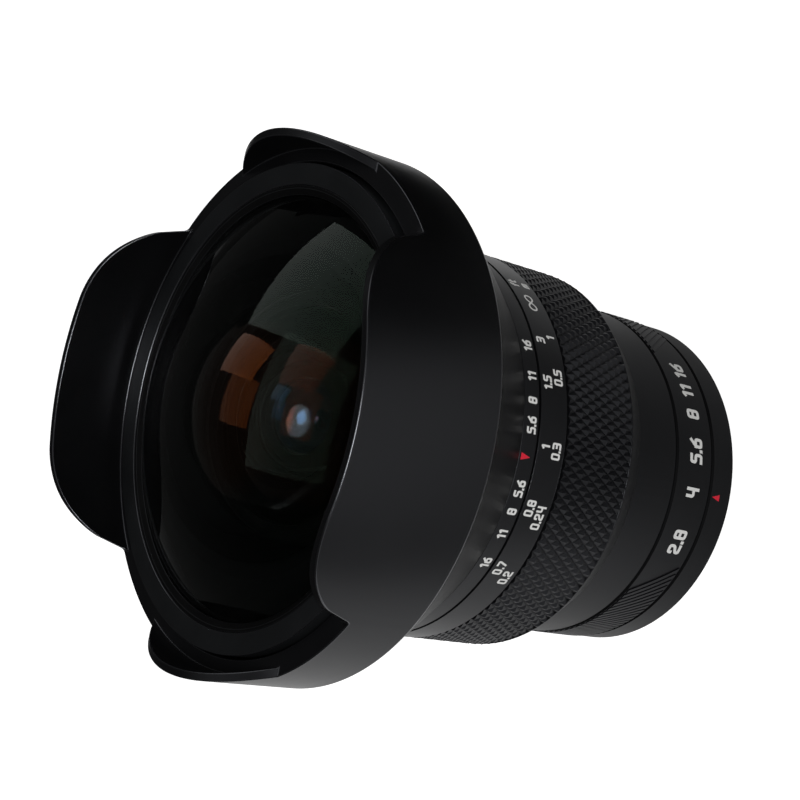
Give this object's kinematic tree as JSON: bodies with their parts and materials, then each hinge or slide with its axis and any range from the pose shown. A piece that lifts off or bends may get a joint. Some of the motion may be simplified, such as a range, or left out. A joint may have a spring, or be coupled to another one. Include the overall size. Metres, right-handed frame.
{
  "type": "fisheye lens",
  "caption": "Manual fisheye lens with a petal hood, focusing grip, clicked aperture ring and iris on a bayonet mount.",
  "frame": {"origin": "centre of the mount's flange face, on the optical axis", "axes": "+Z along the optical axis towards the front glass, the index marks of both scales face -Y"},
  "size_m": [0.0896, 0.0896, 0.1029],
  "materials": {
    "anodised_black": "satin black anodised",
    "chamber_black": "matt black anodised",
    "mount_metal": "chromed brass",
    "brass": "turned brass",
    "screw_steel": "blackened steel",
    "spring_steel": "spring steel",
    "glass": "coated optical glass",
    "white_mark": "white enamel"
  },
  "bodies": {
    "fixed_barrel": {"bayonet_plate": "mount_metal", "bayonet_screws": "screw_steel", "rear_baffle": "chamber_black", "mount_base": "anodised_black", "mount_dot": "white_mark", "barrel_screws": "screw_steel", "main_barrel": "anodised_black", "click_spring": "spring_steel", "click_screw": "screw_steel", "fixed_band": "anodised_black", "band_grub_screws": "screw_steel", "focus_stop_screw": "screw_steel", "depth_scale": "anodised_black", "hood": "anodised_black", "hood_screws": "screw_steel"},
    "focus_ring": {"focus_cam_sleeve": "brass", "focus_grip": "anodised_black", "distance_scale": "anodised_black", "grip_grub_screws": "screw_steel", "scale_grub_screws": "screw_steel"},
    "aperture_control": {"aperture_ring": "anodised_black", "aperture_link": "chamber_black", "link_pin": "brass"},
    "optical_unit": {"cam_followers": "brass", "element_01": "glass", "element_02": "glass", "element_03": "glass", "element_04": "glass", "element_05": "glass", "element_06": "glass", "element_07": "glass", "element_08": "glass", "element_09": "glass", "element_10": "glass", "element_11": "glass", "front_cell": "anodised_black", "front_retainer": "anodised_black", "iris_base": "chamber_black", "iris_clip": "spring_steel", "middle_cell": "chamber_black", "middle_retainer": "chamber_black", "middle_spacer": "chamber_black", "optical_barrel": "chamber_black", "rear_cell": "chamber_black", "rear_group_retainer": "chamber_black", "rear_lock_ring": "chamber_black", "rear_spacer_1": "chamber_black", "rear_spacer_2": "chamber_black", "rear_spacer_3": "chamber_black", "second_retainer": "chamber_black"},
    "iris_cam": {"iris_cam_ring": "chamber_black"},
    "ball": {"click_ball": "spring_steel"},
    "blade_1": {"iris_blade_1": "spring_steel"},
    "blade_2": {"iris_blade_2": "spring_steel"},
    "blade_3": {"iris_blade_3": "spring_steel"},
    "blade_4": {"iris_blade_4": "spring_steel"},
    "blade_5": {"iris_blade_5": "spring_steel"},
    "blade_6": {"iris_blade_6": "spring_steel"},
    "blade_7": {"iris_blade_7": "spring_steel"}
  },
  "joints": [
    {"name": "focus_turn", "type": "hinge", "parent": "fixed_barrel", "child": "focus_ring", "pos_m": [0, 0, 0.0447], "axis": [0, 0, 1], "range_deg": [-47.5, 33.5]},
    {"name": "focus_travel", "type": "slide", "parent": "fixed_barrel", "child": "optical_unit", "axis": [0, 0, 1], "range_m": [-0.00083, 0.00059]},
    {"name": "aperture_turn", "type": "hinge", "parent": "fixed_barrel", "child": "aperture_control", "pos_m": [0, 0, 0.01195], "axis": [0, 0, 1], "range_deg": [-44, 17.2]},
    {"name": "iris_cam_turn", "type": "hinge", "parent": "optical_unit", "child": "iris_cam", "pos_m": [0, 0, 0.04264], "axis": [0, 0, 1], "range_deg": [-44, 17.2]},
    {"name": "click_travel", "type": "slide", "parent": "fixed_barrel", "child": "ball", "axis": [0, -1, 0], "range_m": [0, 0.00035], "stiffness_N_per_m": 500},
    {"name": "blade_1_swing", "type": "hinge", "parent": "optical_unit", "child": "blade_1", "pos_m": [0.014, 0, 0.0403], "axis": [0, 0, 1], "range_deg": [-7.54, 19.27]},
    {"name": "blade_2_swing", "type": "hinge", "parent": "optical_unit", "child": "blade_2", "pos_m": [0.00873, 0.01095, 0.0403], "axis": [0, 0, 1], "range_deg": [-7.54, 19.27]},
    {"name": "blade_3_swing", "type": "hinge", "parent": "optical_unit", "child": "blade_3", "pos_m": [-0.00312, 0.01365, 0.0403], "axis": [0, 0, 1], "range_deg": [-7.54, 19.27]},
    {"name": "blade_4_swing", "type": "hinge", "parent": "optical_unit", "child": "blade_4", "pos_m": [-0.01261, 0.00607, 0.0403], "axis": [0, 0, 1], "range_deg": [-7.54, 19.27]},
    {"name": "blade_5_swing", "type": "hinge", "parent": "optical_unit", "child": "blade_5", "pos_m": [-0.01261, -0.00607, 0.0403], "axis": [0, 0, 1], "range_deg": [-7.54, 19.27]},
    {"name": "blade_6_swing", "type": "hinge", "parent": "optical_unit", "child": "blade_6", "pos_m": [-0.00312, -0.01365, 0.0403], "axis": [0, 0, 1], "range_deg": [-7.54, 19.27]},
    {"name": "blade_7_swing", "type": "hinge", "parent": "optical_unit", "child": "blade_7", "pos_m": [0.00873, -0.01095, 0.0403], "axis": [0, 0, 1], "range_deg": [-7.54, 19.27]}
  ],
  "couplings": [
    {"joint": "focus_travel", "follows": "focus_turn", "m_per_rad": 0.0010027},
    {"joint": "iris_cam_turn", "follows": "aperture_turn", "ratio": 1},
    {"joint": "blade_1_swing", "follows": "aperture_turn", "ratio": -0.43791},
    {"joint": "blade_2_swing", "follows": "aperture_turn", "ratio": -0.43791},
    {"joint": "blade_3_swing", "follows": "aperture_turn", "ratio": -0.43791},
    {"joint": "blade_4_swing", "follows": "aperture_turn", "ratio": -0.43791},
    {"joint": "blade_5_swing", "follows": "aperture_turn", "ratio": -0.43791},
    {"joint": "blade_6_swing", "follows": "aperture_turn", "ratio": -0.43791},
    {"joint": "blade_7_swing", "follows": "aperture_turn", "ratio": -0.43791}
  ]
}
